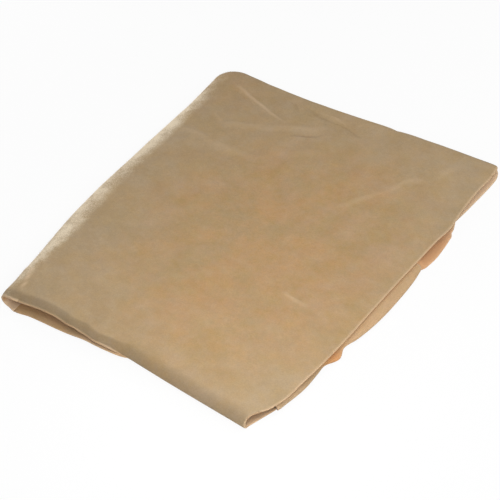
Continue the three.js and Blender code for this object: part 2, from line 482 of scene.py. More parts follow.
    def crease_highlight_and_shade(self, x: Array, y: Array) -> tuple[Array, Array]:
        """How much painted highlight the creases' crests get, and how much painted shade their grooves get.

        Args:
            x: Places across.
            y: Places along.

        Returns:
            Shares for the finish, for crests and for grooves.
        """
        moved = self.wander(x, y)
        rises = [crease.rise(*moved) / crease.width for crease in self.creases]
        crests = self.crest_highlight * sum(np.maximum(rise, 0) for rise in rises)
        grooves = self.groove_shade * sum(np.maximum(-rise, 0) for rise in rises)
        return np.clip(crests, 0, self.crease_paint_limit), np.clip(grooves, 0, self.crease_paint_limit)

    def near_corner(self, x: Array, y: Array) -> Array:
        """Nearness to the rounded back left corner, 1 at the corner."""
        return bell(np.hypot(x - self.corner[0], y - self.corner[1]), self.corner_spread)

    def faded(self, x: Array, y: Array) -> Array:
        """How far use has greyed the face, from its middle out to its edges.

        Args:
            x: Places across.
            y: Places along.

        Returns:
            Shares for the finish.
        """
        middle_x, middle_y = self.fade_centre
        away = np.hypot(x / self.back_width - middle_x, y / self.left_length - middle_y)
        return smoothstep(away, *self.fade_reach) * (1 - self.corner_colour * self.near_corner(x, y))

    def lip(self, x: Array, share: Array) -> tuple[Array, Array]:
        """The lip or roll along the front.

        Args:
            x: Places across.
            share: Share of the lip's leather, from the fold line on.

        Returns:
            Place along and height, in millimetres.
        """
        degrees = along(self.lip_degrees, x)
        turn, open_share = np.radians(degrees), 1 - smoothstep(degrees, *self.lip_closes)
        start = self.top_z(x, self.front_y(x))
        flat = self.lip_flat * open_share
        ahead = np.clip(share / np.maximum(flat, TINY), 0, 1) * flat
        share = np.clip((share - flat) / (1 - flat), 0, 1)
        reach = np.sin(turn) * ahead + np.sin(turn * share) * (1 - flat)
        reach = along(self.lip_length, x) / turn * reach
        late = np.clip((share - self.lip_flick_start) / (1 - self.lip_flick_start), 0, 1)
        flick = self.lip_flick * open_share * late**2
        wave = self.lip_wave * open_share * share**2
        wave = wave * self.ripple(x, 0 * x, self.lip_wave_length, self.lip_wave_seed)
        y = self.front_y(x) - reach - self.lip_flick_lean * flick + wave
        return y, self.roll_z(start, turn * share) + flick + self.lip_wave_lift * wave

    def shoulder_z(self, x: Array, y: Array) -> Array:
        """Height of the top face, also where it droops in the lip at the front left.

        Args:
            x: Places across, left of where the lip turns under.
            y: Places along.

        Returns:
            Height in millimetres.
        """
        shape = np.broadcast(x, y).shape
        low, high = np.zeros(shape), np.ones(shape)
        for _ in range(self.lip_halvings):
            middle = (low + high) / 2
            short = self.lip(x, middle)[0] > y
            low, high = np.where(short, middle, low), np.where(short, high, middle)
        return np.where(y < self.front_y(x), self.lip(x, low)[1], self.top_z(x, y))

    def corner_cap(self, alpha: Array, before: Array, turn: Array, after: Array) -> Array:
        """The rounded corner at the back left, swept round between the left and back folds.

        Args:
            alpha: Directions in plan, from +X.
            before: Share still to go to the fold line.
            turn: Turn of the roll.
            after: Share gone past the fold line on the layer below.

        Returns:
            Grid of places.
        """
        left = along(self.left_bulge, np.array(self.corner[1]))
        back = along(self.back_bulge, np.array(self.corner[0]))
        bulge = lerp(back, left, smoothstep(alpha, np.pi / 2, np.pi)) - self.corner_swell * np.sin(2 * alpha)
        cos, sin = np.cos(alpha), np.sin(alpha)
        flat = self.fold_margin * (1 - before) - self.tail * after
        flat_x, flat_y = self.corner[0] + cos * flat, self.corner[1] + sin * flat
        line_x, line_y = self.corner[0] + cos * self.fold_margin, self.corner[1] + sin * self.fold_margin
        start = np.where(turn == 0, self.top_z(flat_x, flat_y), self.top_z(line_x, line_y))
        reach = bulge * np.sin(turn)
        return np.stack((flat_x + cos * reach, flat_y + sin * reach, self.roll_z(start, turn)), -1)


@dataclass
class Leather:
    """A closed sheet of leather around a middle surface that is made of joined grids."""

    name: str
    thickness: float
    edge_paleness: float = 0.35
    edge_thinning: float = 0.45
    edge_steps: int = 5
    # Grids meet where their points fall in the same cell; the shift keeps round values off its edges
    cells_per_mm: float = 200
    cell_shift: float = 0.137
    points: list[Array] = field(default_factory=list)
    faces: list[Array] = field(default_factory=list)
    raw: list[Array] = field(default_factory=list)
    marks: list[dict[str, Array]] = field(default_factory=list)
    count: int = 0

    def grid(self, points: Array, seams: tuple[Side, ...] = (), **marks: Array | float) -> None:
        """Adds a grid of the middle surface.

        Args:
            points: Rows and columns of places, in plan millimetres.
            seams: Sides that meet another piece, so they aren't rounded as raw edges are.
            marks: Values for the whole grid or for each point: warm, the painted highlight, the painted
                shade, the pale raw edges with painted light, and faded for the finish, fuzz for loose fibres
                and hold for the bend. One that only another grid gives is 0 here.
        """
        rows, columns = points.shape[:2]
        index = np.arange(rows * columns).reshape(rows, columns) + self.count
        corners = (index[:-1, :-1], index[:-1, 1:], index[1:, 1:], index[1:, :-1])
        self.faces.append(np.stack(corners, -1).reshape(-1, 4))
        raw = np.ones((rows, columns))
        for side, part in (
            (Side.FIRST_ROW, np.s_[0, :]),
            (Side.LAST_ROW, np.s_[-1, :]),
            (Side.FIRST_COLUMN, np.s_[:, 0]),
            (Side.LAST_COLUMN, np.s_[:, -1]),
        ):
            if side in seams:
                raw[part] = 0
        self.points.append(points.reshape(-1, 3))
        self.raw.append(raw.ravel())
        self.marks.append({name: np.broadcast_to(value, raw.shape).ravel() for name, value in marks.items()})
        self.count += rows * columns

    def _joined(self) -> tuple[Array, list[list[int]], Array, dict[str, Array]]:
        """Merges the grids where they meet.

        Returns:
            Points, faces, raw shares and marks of the joined middle surface.
        """
        points = np.concatenate(self.points)
        keys = np.round(points * self.cells_per_mm + self.cell_shift).astype(np.int64)
        _, first, back = np.unique(keys, axis=0, return_index=True, return_inverse=True)
        back = back.ravel()
        raw = np.ones(len(first))
        np.minimum.at(raw, back, np.concatenate(self.raw))
        marks = {}
        for name in dict.fromkeys(name for given in self.marks for name in given):
            parts = [given.get(name, np.zeros(len(part))) for given, part in zip(self.marks, self.points)]
            marks[name] = np.concatenate(parts)[first]
        faces = []
        for face in back[np.concatenate(self.faces)]:
            ring = [int(v) for i, v in enumerate(face) if v != face[i - 1]]
            if len(ring) > 2:
                faces.append(ring)
        return points[first], faces, raw, marks

    @staticmethod
    def _facing(points: Array, faces: list[list[int]]) -> tuple[Array, dict[tuple[int, int], Array]]:
        """Finds which way the middle surface faces.

        Args:
            points: Points of the middle surface.
            faces: Its faces, as rings of points.

        Returns:
            The normal at each point, and each directed edge with the normal of its face.
        """
        normals = np.zeros_like(points)
        edges: dict[tuple[int, int], Array] = {}
        for ring in faces:
            corners = points[ring]
            around = np.cross(corners[1] - corners[0], corners[-1] - corners[0])
            if len(ring) > 3:
                around = around + np.cross(corners[-2] - corners[2], corners[1] - corners[2])
            normals[ring] += around
            for i, end in enumerate(ring):
                edges[(ring[i - 1], end)] = around
        return normals / np.linalg.norm(normals, axis=1, keepdims=True), edges

    def _skin(
        self, faces: list[list[int]], rim_edges: list[tuple[int, int]], rim: Array, count: int
    ) -> list[list[int]]:
        """Lists the faces of the closed sheet.

        Args:
            faces: Faces of the middle surface.
            rim_edges: Its open edges.
            rim: Its points along them.
            count: Number of its points.

        Returns:
            The upper faces, the lower faces and those round the rim.
        """
        steps = self.edge_steps
        across = {}
        for i, v in enumerate(rim.tolist()):
            rounds = [2 * count + step * len(rim) + i for step in range(steps - 1)]
            across[v] = [v, *rounds, count + v]
        skin = [list(ring) for ring in faces]
        skin += [[count + v for v in reversed(ring)] for ring in faces]
        for a, b in rim_edges:
            for step in range(steps):
                skin.append([across[b][step], across[a][step], across[a][step + 1], across[b][step + 1]])
        return skin

    def build(self, origin: Array) -> bpy.types.Object:
        """Gives the middle surface its thickness and makes the object.

        Args:
            origin: The plan's origin in the frame, in millimetres.

        Returns:
            The sheet, at the frame's origin, with rounded raw edges and smooth faces.
        """
        points, faces, raw, marks = self._joined()
        normals, edges = self._facing(points, faces)
        rim_edges = [pair for pair in edges if (pair[1], pair[0]) not in edges]
        seam_edges = [(a, b) for a, b in rim_edges if raw[a] + raw[b] == 0]
        rim = np.array(sorted({v for pair in rim_edges for v in pair}))
        outward = np.zeros_like(points)
        for a, b in set(rim_edges) - set(seam_edges):
            out = np.cross(points[b] - points[a], edges[(a, b)])
            out /= np.linalg.norm(out)
            outward[a] += out
            outward[b] += out
        outward -= normals * np.sum(outward * normals, axis=1, keepdims=True)
        reach = np.linalg.norm(outward, axis=1, keepdims=True)
        raw = (reach[:, 0] > 0).astype(float)
        outward /= np.maximum(reach, TINY)

        half = self.thickness / 2 * (1 - self.edge_thinning * raw)[:, None]
        layers = [points + half * normals, points - half * normals]
        for step in range(1, self.edge_steps):
            angle = math.pi * step / self.edge_steps
            turned = normals[rim] * math.cos(angle) + outward[rim] * math.sin(angle)
            layers.append(points[rim] + half[rim] * turned)
        mesh = bpy.data.meshes.new(self.name)
        skin = self._skin(faces, rim_edges, rim, len(points))
        mesh.from_pydata(((np.concatenate(layers) + origin) * MM).tolist(), [], skin)
        mesh.shade_smooth()
        self._mark(mesh, marks, rim, raw)
        self._keep_seams_sharp(mesh, seam_edges, len(points))
        mesh.validate()
        piece = bpy.data.objects.new(self.name, mesh)
        bpy.context.scene.collection.objects.link(piece)
        return piece

    def _mark(self, mesh: bpy.types.Mesh, marks: dict[str, Array], rim: Array, raw: Array) -> None:
        """Stores the values that the material and the bends read.

        Args:
            mesh: The closed sheet.
            marks: Values of the middle surface. One named warm_back is for the lower face alone.
            rim: Points of the middle surface along its edges.
            raw: Share of rawness of each middle point.
        """
        # The pale raw edges go into the same mark that carries painted light
        cut = marks.pop("cut", np.zeros(len(raw)))
        cut[rim] += self.edge_paleness * raw[rim]
        marks = {"cut": cut} | marks
        for name, value in marks.items():
            lower = marks.get(name + "_back", value)
            rounds = [(value[rim] + lower[rim]) / 2] * (self.edge_steps - 1)
            stored = np.concatenate([value, lower, *rounds]).astype(np.float32)
            mesh.attributes.new(name, "FLOAT", "POINT").data.foreach_set("value", stored)

    @staticmethod
    def _keep_seams_sharp(mesh: bpy.types.Mesh, seam_edges: list[tuple[int, int]], count: int) -> None:
        """Keeps the closed end of a seam from bending the shading of the faces beside it.

        Args:
            mesh: The closed sheet.
            seam_edges: Edges of the middle surface that meet another piece.
            count: Number of middle points.
        """
        seam = {frozenset((a + k, b + k)) for a, b in seam_edges for k in (0, count)}
        sharp = [frozenset(edge.vertices) in seam for edge in mesh.edges]
        mesh.attributes.new("sharp_edge", "BOOLEAN", "EDGE").data.foreach_set("value", sharp)


@dataclass(frozen=True)
class Cloud:
    """A soft random pattern: the width of its largest patches, and how fine it goes."""

    size_mm: float
    detail: float = 5
    roughness: float = 0.8


@dataclass(frozen=True)
class ChamoisFinish:
    """Oil-tanned sheepskin split, sueded on both faces.

    The eye gets a matt tan that drifts between rose and olive, a painted highlight where the nap
    along a fold's rim catches the light, painted shade where folds, creases and the back left corner
    turn from the light, paler raw edges, painted light in shadowed folds and mouths, and a warmer
    tone inside the folds that is partly the flesh side's own and partly painted bounce light.
    """

    name: str = "sueded chamois"
    rose: str = "#B8956F"
    olive: str = "#AE9369"
    # Warmer tone inside the folds: the flesh side's own colour, and in the pockets partly painted bounce
    # light
    warm: str = "#CB925F"
    # Pale raw edges; also the colour of painted light on crease crests and in shadowed folds and mouths
    edge: str = "#DEC2A1"
    # Painted highlight, where the nap along a fold's rim catches the light
    brushed: str = "#F3E3C8"
    sheen_tint: str = "#F0DCC4"
    hue: Cloud = Cloud(26)
    fade: Cloud = Cloud(19)
    fleck: Cloud = Cloud(15)
    patch: Cloud = Cloud(8, 3, 0.5)
    # Real nap is finer than a pixel; this is as coarse as it needs to be to show
    nap: Cloud = Cloud(0.8, 2, 0.5)
    wide_swing: Span = (0.3, 0.7)
    full_swing: Span = (0.25, 0.75)
    fleck_tone: Span = (0.93, 1.07)
    nap_tone: Span = (0.94, 1.06)
    fade_tone: Span = (0.9, 1.1)
    # Tone where the painted shade is full
    flattened: float = 0.72
    faded: float = 0.87
    faded_drift: float = 0.25
    # Grain that breaks up the painted highlight
    patch_lift: Span = (-0.25, 0.25)
    nap_lift: Span = (-0.26, 0.26)
    brushed_from: Span = (0.15, 1.05)
    brushed_most: float = 0.9
    nap_height_mm: float = 0.14
    nap_strength: float = 0.5
    ior: float = 1.45
    specular: float = 0.2
    roughness: float = 0.95
    sheen: float = 0.2
    sheen_roughness: float = 0.45

    def _shares(self, tree: bpy.types.NodeTree) -> dict[str, bpy.types.NodeSocket]:
        """Adds the patterns and the sheet's marks, worked into shares for the colour.

        Args:
            tree: The material's node tree.

        Returns:
            Sockets for hue, saturation, tone, the painted highlight, warmth, the pale edges with painted
            light, and nap.
        """
        where = add_node(tree, "ShaderNodeTexCoord").outputs["Object"]
        cloud, mark, value = {}, {}, {}
        for name in ("hue", "fade", "fleck", "patch", "nap"):
            look = getattr(self, name)
            links = {"Scale": 1 / (look.size_mm * MM), "Detail": look.detail, "Roughness": look.roughness}
            cloud[name] = add_node(tree, "ShaderNodeTexNoise", links={"Vector": where} | links).outputs["Fac"]
        for name in ("faded", "flattened", "warm", "brushed", "cut"):
            mark[name] = add_node(tree, "ShaderNodeAttribute", {"attribute_name": name}).outputs["Fac"]
        ranges = {
            "drift": (cloud["hue"], self.wide_swing, (0, 1)),
            "drift left": (mark["faded"], (0, 1), (1, self.faded_drift)),
            "fleck": (cloud["fleck"], self.full_swing, self.fleck_tone),
            "nap": (cloud["nap"], self.full_swing, self.nap_tone),
            "flattened": (mark["flattened"], (0, 1), (1, self.flattened)),
            "fade": (cloud["fade"], self.full_swing, self.fade_tone),
            "faded": (mark["faded"], (0, 1), (1, self.faded)),
            "patch lift": (cloud["patch"], self.wide_swing, self.patch_lift),
            "nap lift": (cloud["nap"], self.full_swing, self.nap_lift),
        }
        smooth = {"interpolation_type": "SMOOTHSTEP"}
        for name, (source, given, wanted) in ranges.items():
            links = dict(enumerate((source, *given, *wanted)))
            value[name] = add_node(tree, "ShaderNodeMapRange", smooth, links).outputs[0]
        for name, operation, first, second in (
            ("hue", "MULTIPLY", "drift", "drift left"),
            ("tone", "MULTIPLY", "fleck", "nap"),
            ("tone", "MULTIPLY", "tone", "flattened"),
            ("saturation", "MULTIPLY", "fade", "faded"),
            ("lift", "ADD", "patch lift", "nap lift"),
        ):
            links = {0: value[first], 1: value[second]}
            value[name] = add_node(tree, "ShaderNodeMath", {"operation": operation}, links).outputs[0]
        # The painted highlight, broken up by the patch and nap clouds
        links = {0: mark["brushed"], 1: value["lift"], 2: mark["brushed"]}
        raised = add_node(tree, "ShaderNodeMath", {"operation": "MULTIPLY_ADD"}, links).outputs[0]
        links = dict(enumerate((raised, *self.brushed_from, 0, self.brushed_most)))
        raised = add_node(tree, "ShaderNodeMapRange", smooth, links).outputs[0]
        return value | {"raised": raised, "warm": mark["warm"], "cut": mark["cut"], "nap": cloud["nap"]}

    def _colour(
        self, tree: bpy.types.NodeTree, share: dict[str, bpy.types.NodeSocket]
    ) -> bpy.types.NodeSocket:
        """Mixes the leather's colours.

        Args:
            tree: The material's node tree.
            share: Sockets by name.

        Returns:
            The colour's socket.
        """
        # Set to colours, a Mix node takes them in sockets 6 and 7 and gives the mix in socket 2
        colours = {"data_type": "RGBA"}
        links = {0: share["hue"], 6: linear(self.olive), 7: linear(self.rose)}
        colour = add_node(tree, "ShaderNodeMix", colours, links).outputs[2]
        links = {"Saturation": share["saturation"], "Value": share["tone"], "Color": colour}
        colour = add_node(tree, "ShaderNodeHueSaturation", links=links).outputs[0]
        # Warmth, then the painted highlight, then the pale edges with painted light
        for name, over in (("warm", self.warm), ("raised", self.brushed), ("cut", self.edge)):
            links = {0: share[name], 6: colour, 7: linear(over)}
            colour = add_node(tree, "ShaderNodeMix", colours, links).outputs[2]
        return colour

    def material(self) -> bpy.types.Material:
        """Builds the material.

        Returns:
            A procedural material on object coordinates and the sheet's own marks.
        """
        material = bpy.data.materials.new(self.name)
        material.use_nodes = True
        tree = material.node_tree
        tree.nodes.clear()
        share = self._shares(tree)
        links = {"Strength": self.nap_strength, "Distance": self.nap_height_mm * MM, "Height": share["nap"]}
        bump = add_node(tree, "ShaderNodeBump", links=links)
        links = {
            "Base Color": self._colour(tree, share),
            "Roughness": self.roughness,
            "IOR": self.ior,
            "Specular IOR Level": self.specular,
            "Sheen Weight": self.sheen,
            "Sheen Roughness": self.sheen_roughness,
            "Sheen Tint": linear(self.sheen_tint),
            "Normal": bump.outputs[0],
        }
        shader = add_node(tree, "ShaderNodeBsdfPrincipled", links=links)
        add_node(tree, "ShaderNodeOutputMaterial", links={"Surface": shader.outputs[0]})
        return material


@dataclass
class NapFibres:
    """Loose fibres of the nap that stand up along a fold's rim."""

    density_per_mm2: float = 2
    length_mm: float = 0.8
    radius_mm: float = 0.03
    # Lean either way in radians, and lengths as shares of the usual one
    lean: float = 0.7
    shortest: float = 0.4
    longest: float = 1.3
    sides: int = 3
    seed: int = 7

    def tree(self) -> bpy.types.NodeTree:
        """Builds the node tree that plants fibres by the sheet's fuzz mark.

        Returns:
            A tree with inputs for its sizes, its seed and the fibres' material.
        """
        tree = bpy.data.node_groups.new("nap fibres", "GeometryNodeTree")
        for name, kind in (
            ("Sheet", "Geometry"),
            ("Density", "Float"),
            ("Length", "Float"),
            ("Radius", "Float"),
            ("Seed", "Int"),
            ("Material", "Material"),
        ):
            tree.interface.new_socket(name, in_out="INPUT", socket_type="NodeSocket" + kind)
        tree.interface.new_socket("Fibres", in_out="OUTPUT", socket_type="NodeSocketGeometry")
        given = add_node(tree, "NodeGroupInput").outputs
        fuzz = add_node(tree, "GeometryNodeInputNamedAttribute", {"data_type": "FLOAT"}, {"Name": "fuzz"})
        links = {0: fuzz.outputs["Attribute"], 1: given["Density"]}
        dense = add_node(tree, "ShaderNodeMath", {"operation": "MULTIPLY"}, links)
        links = {"Mesh": given["Sheet"], "Density": dense.outputs[0], "Seed": given["Seed"]}
        settings = {"distribute_method": "RANDOM"}
        roots = add_node(tree, "GeometryNodeDistributePointsOnFaces", settings, links)
        # A Random Value node takes its limits in sockets 0 and 1 for a vector, 2 and 3 for a number
        most = (self.lean, self.lean, math.pi)
        links = {0: tuple(-angle for angle in most), 1: most, "Seed": given["Seed"]}
        lean = add_node(tree, "FunctionNodeRandomValue", {"data_type": "FLOAT_VECTOR"}, links)
        tilt = add_node(tree, "FunctionNodeEulerToRotation", links={0: lean.outputs[0]})
        links = {0: roots.outputs["Rotation"], 1: tilt.outputs[0]}
        stand = add_node(tree, "FunctionNodeRotateRotation", {"rotation_space": "LOCAL"}, links)
        links = {2: self.shortest, 3: self.longest, "Seed": given["Seed"]}
        size = add_node(tree, "FunctionNodeRandomValue", {"data_type": "FLOAT"}, links)
        links = {"Radius Top": 0.0, "Radius Bottom": given["Radius"], "Depth": given["Length"]}
        links = {"Vertices": self.sides} | links
        fibre = add_node(tree, "GeometryNodeMeshCone", {"fill_type": "NGON"}, links)
        links = {"Points": roots.outputs["Points"], "Instance": fibre.outputs["Mesh"]}
        links = links | {"Rotation": stand.outputs[0], "Scale": size.outputs[1]}
        planted = add_node(tree, "GeometryNodeInstanceOnPoints", links=links)
        real = add_node(tree, "GeometryNodeRealizeInstances", links={0: planted.outputs[0]})
        links = {"Geometry": real.outputs[0], "Material": given["Material"]}
        coat = add_node(tree, "GeometryNodeSetMaterial", links=links)
        add_node(tree, "NodeGroupOutput", links={"Fibres": coat.outputs[0]})
        return tree

    def grow(self, name: str, sheet: bpy.types.Object, material: bpy.types.Material) -> bpy.types.Object:
        """Plants fibres on a sheet.

        Args:
            name: Name of the new piece.
            sheet: Leather that they stand on.
            material: Their finish.

        Returns:
            The fibres as a plain mesh, with the sheet's marks.
        """
        bed = sheet.copy()
        bpy.context.scene.collection.objects.link(bed)
        modifier = bed.modifiers.new("nap", "NODES")
        modifier.node_group = self.tree()
        values = {
            "Density": self.density_per_mm2 / MM**2,
            "Length": self.length_mm * MM,
            "Radius": self.radius_mm * MM,
            "Seed": self.seed,
            "Material": material,
        }
        for socket in modifier.node_group.interface.items_tree:
            if socket.name in values:
                modifier[socket.identifier] = values[socket.name]
        evaluated = bed.evaluated_get(bpy.context.evaluated_depsgraph_get())
        mesh = bpy.data.meshes.new_from_object(evaluated)
        mesh.name = name
        bpy.data.objects.remove(bed)
        piece = bpy.data.objects.new(name, mesh)
        bpy.context.scene.collection.objects.link(piece)
        log.info("%s: %d faces", name, len(mesh.polygons))
        return piece


@dataclass
class SkinPiece:
    """One sheet of the skin, with its finish and its ties to the frame."""

    plan: SkinPlan
    name: str = ""
    nodes: tuple[str, ...] = ()
    slot: Slot = Slot.OUTSIDE
    # Size before folding, in metres, and how it lies
    flat: Span = (0, 0)
    area: float | None = None
    held: Held = Held.FOLDED
    rests_on: str = "top_face"
    # The layer that it goes with, and for a roll the layer below and the heights between which it turns
    layer: Layer = Layer.TOP
    below: Layer | None = None
    bend: Span = (0, 0)

    def shape(self) -> Leather:
        """The sheet's form; every piece has its own."""
        raise NotImplementedError

    def grow(self, piece: bpy.types.Object, material: bpy.types.Material) -> list[bpy.types.Object]:
        """What stands on the sheet: nothing, as a rule."""
        return []

    def bind(self, part: bpy.types.Object) -> None:
        """Lets a part ride on its layer, or turn between two layers.

        Args:
            part: The sheet, or what stands on it.
        """
        if self.below is None:
            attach(part, self.layer.value)
            return
        high, low = (height * MM for height in self.bend)
        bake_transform(part, self.layer.value, self.below.value, start=(0, 0, high), end=(0, 0, low))
        # Where the hold mark is below 1, the leather stays more with the upper layer
        hold = part.data.attributes.get("hold")
        if hold is None:
            return
        held, weight = np.zeros((2, len(part.data.vertices)), np.float32)
        hold.data.foreach_get("value", held)
        weights = part.data.attributes["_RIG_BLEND"].data
        weights.foreach_get("value", weight)
        weights.foreach_set("value", weight * held)

    def build(self, material: bpy.types.Material) -> None:
        """Makes the sheet, dresses it and binds it to the frame.

        Args:
            material: Its finish.
        """
        piece = self.shape().build(self.plan.origin)
        piece.data.materials.append(material)
        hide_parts(*self.nodes)
        grown = self.grow(piece, material)
        for part in (piece, *grown):
            self.bind(part)
        log.info("%s: %d faces, for %s", piece.name, len(piece.data.polygons), ", ".join(self.nodes))


@dataclass
class TopFace(SkinPiece):
    """The large face on top, raw along its right edge."""

    name: str = "top_face"
    nodes: tuple[str, ...] = ("top_panel",)
    flat: Span = (0.187, 0.25)
    rests_on: str = "under_layer_leather"
    columns: int = 170
    rows: int = 220
    back_density: float = 0.35

    def shape(self) -> Leather:
        """The sheet between the folds.

        Returns:
            Its leather.
        """
        plan, margin = self.plan, self.plan.fold_margin
        s, t = np.meshgrid(np.linspace(0, 1, self.columns), np.linspace(0, 1, self.rows))
        t = t + self.back_density * t * (1 - t)
        x = s * plan.back_width
        for _ in range(FIX_ROUNDS):
            y = lerp(plan.front_y(x) + margin, plan.back_y(x) - margin, t)
            x = lerp(plan.left_x(y) + margin, along(plan.raw_edge, y), s)
        crests, grooves = plan.crease_highlight_and_shade(x, y)
        leather = Leather(self.name, plan.thickness)
        leather.grid(
            np.stack((x, y, plan.top_z(x, y)), -1),
            (Side.FIRST_ROW, Side.LAST_ROW, Side.FIRST_COLUMN),
            warm=0.0,
            warm_back=plan.flesh,
            # Painted highlight on crease crests; painted shade in their grooves and near the back left corner
            cut=crests,
            flattened=np.maximum(grooves, plan.corner_shade * plan.near_corner(x, y)),
            faded=plan.faded(x, y),
        )
        return leather


@dataclass
class LeftFold(SkinPiece):
    """The rolled left edge, with its half of the rounded corner at the back."""

    name: str = "left_fold_leather"
    nodes: tuple[str, ...] = ("left_fold",)
    flat: Span = (0.038, 0.262)
    below: Layer | None = Layer.UNDER
    bend: Span = (9.6, 1.2)
    rows: int = 180
    corner_rows: int = 14
    steps: tuple[int, int, int] = (4, 30, 3)
    edge_paleness: float = 0.6
    edge_thinning: float = 0.1
    mouth_set_back: float = 0.6
    # The back end of the fold stays rolled, more and more over this length and the corner's arc
    settle: float = 35
    corner_arc: float = 14
    # Painted highlight along the roll's rim, where the nap catches the light: strength along the fold, and
    # turn, which is wider near the front
    highlight_band: Knots = (
        (-10, 0.45), (20, 0.7), (60, 0.82), (90, 0.82), (118, 0.77), (150, 0.86), (195, 0.95), (215, 0.72),
        (235, 0.42),
    )
    band_turn: Span = (-0.7, 1)
    band_before: float = 0.9
    band_widening: Span = (-0.3, -0.4)
    band_wide_end: Span = (50, 100)
    band_dimming: float = 0.5
    band_dim_turn: Span = (1.15, 1.5)
    band_dim_end: Span = (30, 70)
    corner_band: Span = (0.25, 0.45)
    # Loose fibres on the band
    fuzz_rise: Span = (0.2, 0.9)
    fuzz_fall: Span = (1.7, 2.1)
    fuzz_start: Span = (4, 16)
    corner_fuzz: Span = (0.25, 0.5)
    # Painted shade on the roll's side near the front, and along the drooping lip
    shade: float = 0.8
    shade_turn: Span = (1.1, 1.4)
    shade_end: Span = (30, 80)
    droop_end: Span = (3.2, 7.8)
    droop_rim: float = 0.5
    droop_turn: float = 1.5
    # The creases' painted highlight fades out round the roll, and painted light brightens its shadowed inside
    # at the mouth
    crease_turn: Span = (0.6, 1.2)
    inside_pale: float = 0.95
    inside_end: Span = (-8, 14)
    inside_turn: Span = (1.7, 2.5)

    def shape(self) -> Leather:
        """The rolled strip.

        Returns:
            Its leather.
        """
        plan = self.plan
        before, turn, after = (part[::-1][None, :] for part in cross_section(*self.steps))
        seam_x = plan.left_x(plan.front_y(0)) + plan.fold_margin * before
        upper, lower = plan.lip(seam_x, np.array(1.0))[0], along(plan.under_lip, plan.tail * after)
        lip_y = lerp(upper, lower, smoothstep(turn, 0, np.pi)) + self.mouth_set_back * np.sin(turn)
        y = lerp(lip_y, plan.corner[1], np.linspace(0, 1, self.rows)[:, None])
        behind = y - lip_y
        flat_x = plan.left_x(y) + plan.fold_margin * before + plan.tail * after
        start = np.where(turn == 0, plan.shoulder_z(flat_x, y), plan.shoulder_z(plan.left_x(y), y))
        x = flat_x - along(plan.left_bulge, y) * np.sin(turn)

        # Painted highlight band along the rim, dimmed where the roll turns under near the front
        wide = 1 - smoothstep(y, *self.band_wide_end)
        low, high = (edge + more * wide for edge, more in zip(self.band_turn, self.band_widening))
        band = smoothstep(turn - self.band_before * before, low, high)
        dim = smoothstep(turn, *self.band_dim_turn) * (1 - smoothstep(y, *self.band_dim_end))
        strength = along(self.highlight_band, y)
        # Painted shade on the roll's side and along the drooping lip, and painted light on the inside at the
        # mouth
        side = self.shade * smoothstep(turn, *self.shade_turn) * (1 - smoothstep(y, *self.shade_end))
        droop = (1 - smoothstep(behind, *self.droop_end)) * (turn < self.droop_turn)
        droop = plan.droop_shade * droop * lerp(self.droop_rim, 1, smoothstep(behind, 0, 1))
        fuzz = window(turn, self.fuzz_rise, self.fuzz_fall)
        inside = self.inside_pale * (1 - smoothstep(y, *self.inside_end))
        seams = (Side.LAST_COLUMN, Side.FIRST_COLUMN, Side.LAST_ROW)
        held = self.settle + self.corner_arc
        leather = Leather(self.name, plan.thickness, self.edge_paleness, self.edge_thinning)
        leather.grid(
            np.stack((x, y, plan.roll_z(start, turn)), -1),
            seams,
            warm=plan.flesh * smoothstep(turn, *plan.flesh_turn),
            warm_back=plan.flesh,
            cut=plan.crease_highlight_and_shade(x, y)[0] * (1 - smoothstep(turn, *self.crease_turn)),
            cut_back=inside * smoothstep(turn, *self.inside_turn),
            brushed=band * (1 - self.band_dimming * dim) * strength,
            brushed_back=0.0,
            flattened=np.maximum(droop, side) + plan.corner_shade * plan.near_corner(flat_x, y),
            flattened_back=0.0,
            faded=plan.faded(flat_x, y),
            fuzz=fuzz * strength * smoothstep(behind, *self.fuzz_start),
            fuzz_back=0.0,
            hold=1 - smoothstep(y - plan.corner[1] + self.settle, 0, held),
        )
        alpha = np.linspace(np.pi, CORNER_MIDDLE, self.corner_rows)[:, None]
        left_share = smoothstep(alpha, CORNER_MIDDLE, np.pi)
        rounded = self.corner_arc * (np.pi - alpha) / (np.pi - CORNER_MIDDLE)
        rim = plan.corner_rim_shade * smoothstep(turn, *plan.corner_rim_shade_turn) * (1 - left_share)
        leather.grid(
            plan.corner_cap(alpha, before, turn, after),
            seams,
            warm=plan.flesh * smoothstep(turn, *plan.flesh_turn),
            warm_back=plan.flesh,
            # Painted highlight fading round the corner; painted shade on the corner and its rim
            brushed=band[-1:] * lerp(*self.corner_band, left_share),
            flattened=plan.corner_shade + rim,
            faded=1 - plan.corner_colour,
            fuzz=fuzz * lerp(*self.corner_fuzz, left_share),
            hold=1 - smoothstep(self.settle + rounded, 0, held),
        )
        return leather

    def grow(self, piece: bpy.types.Object, material: bpy.types.Material) -> list[bpy.types.Object]:
        """Loose fibres of the nap."""
        return [NapFibres().grow("left_fold_nap", piece, material)]


